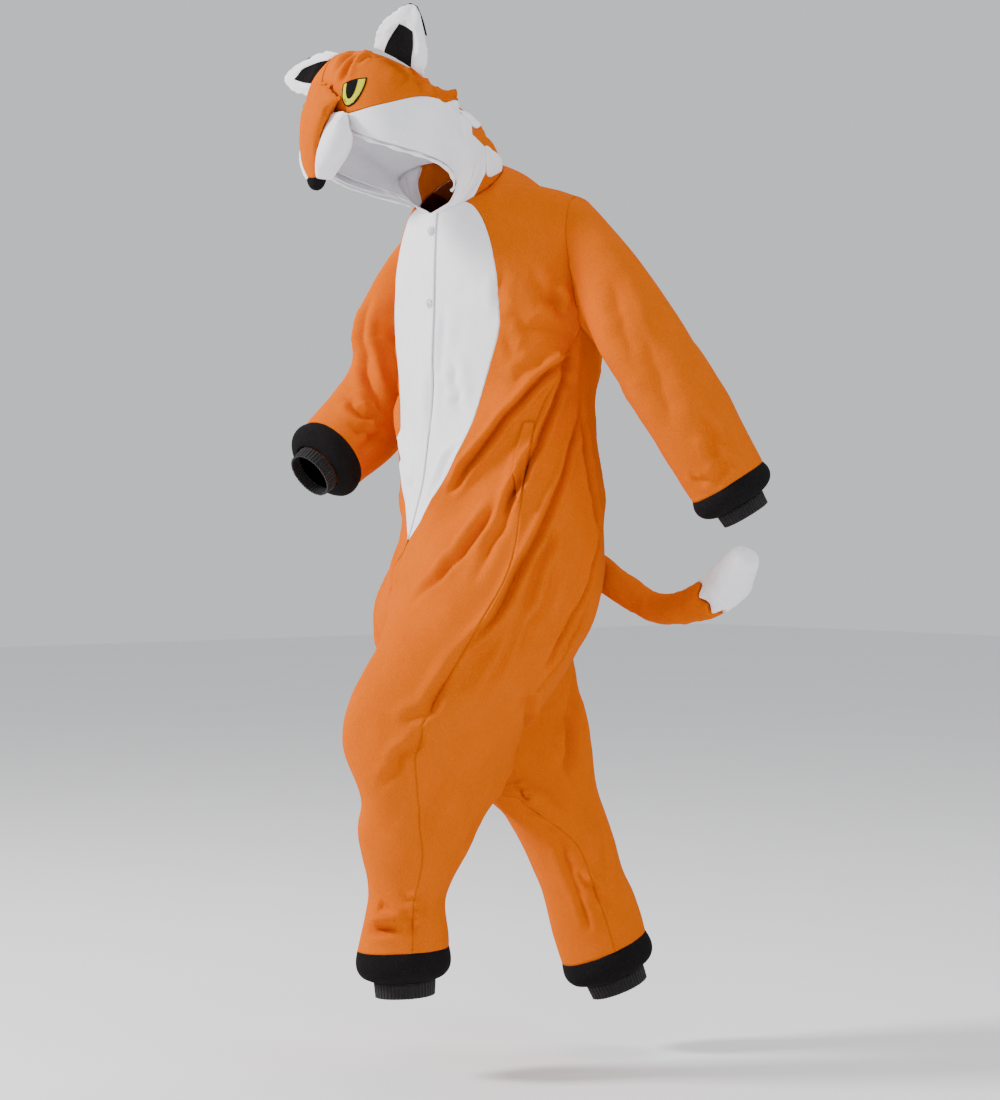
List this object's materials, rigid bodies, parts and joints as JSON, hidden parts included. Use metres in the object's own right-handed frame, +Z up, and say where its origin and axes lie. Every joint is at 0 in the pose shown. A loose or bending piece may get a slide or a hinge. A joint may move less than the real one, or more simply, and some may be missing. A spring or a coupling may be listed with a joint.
{
  "type": "hooded onesie",
  "caption": "Hollow adult fleece fox onesie held in a walking pose: long sleeves, ribbed cuffs, buttoned white front, open hood with muzzle, eyes and ears, and a bushy tail held forward.",
  "frame": {"origin": "midway between the tops of the wearer's shoulders, where the wearer holds the garment up", "axes": "+Z up; -Y is the way the wearer's chest faces; +X towards the wearer's left hand"},
  "size_m": [0.816, 0.6908, 1.6626],
  "materials": {
    "orange_fleece": "matte",
    "white_fleece": "matte",
    "black_fleece": "matte",
    "black_rib": "matte",
    "yellow_felt": "matte",
    "clear_snap": "gloss"
  },
  "bodies": {
    "root": {"ankle_band_left": "orange_fleece", "ankle_band_right": "orange_fleece", "ankle_rib_left": "black_rib", "ankle_rib_right": "black_rib", "back_left": "orange_fleece", "back_right": "orange_fleece", "belly_left": "white_fleece", "belly_right": "white_fleece", "bridge": "orange_fleece", "cheek_left": "white_fleece", "cheek_right": "white_fleece", "crown_left": "orange_fleece", "crown_right": "orange_fleece", "ear_back_left": "orange_fleece", "ear_back_right": "orange_fleece", "ear_front_left": "white_fleece", "ear_front_right": "white_fleece", "ear_inner_left": "black_fleece", "ear_inner_right": "black_fleece", "ear_tip_left": "black_fleece", "ear_tip_right": "black_fleece", "eye_patch_left": "black_fleece", "eye_patch_right": "black_fleece", "eye_pupil_left": "black_fleece", "eye_pupil_right": "black_fleece", "eye_ring_left": "yellow_felt", "eye_ring_right": "yellow_felt", "face_hem": "white_fleece", "front_left": "orange_fleece", "front_right": "orange_fleece", "hood_lining": "white_fleece", "muzzle_left": "white_fleece", "muzzle_right": "white_fleece", "nose": "black_fleece", "pocket_left": "orange_fleece", "pocket_right": "orange_fleece", "sleeve_left": "orange_fleece", "sleeve_right": "orange_fleece", "snap_1": "clear_snap", "snap_2": "clear_snap", "tail": "orange_fleece", "tail_tip": "white_fleece", "wrist_band_left": "orange_fleece", "wrist_band_right": "orange_fleece", "wrist_rib_left": "black_rib", "wrist_rib_right": "black_rib"}
  },
  "joints": []
}
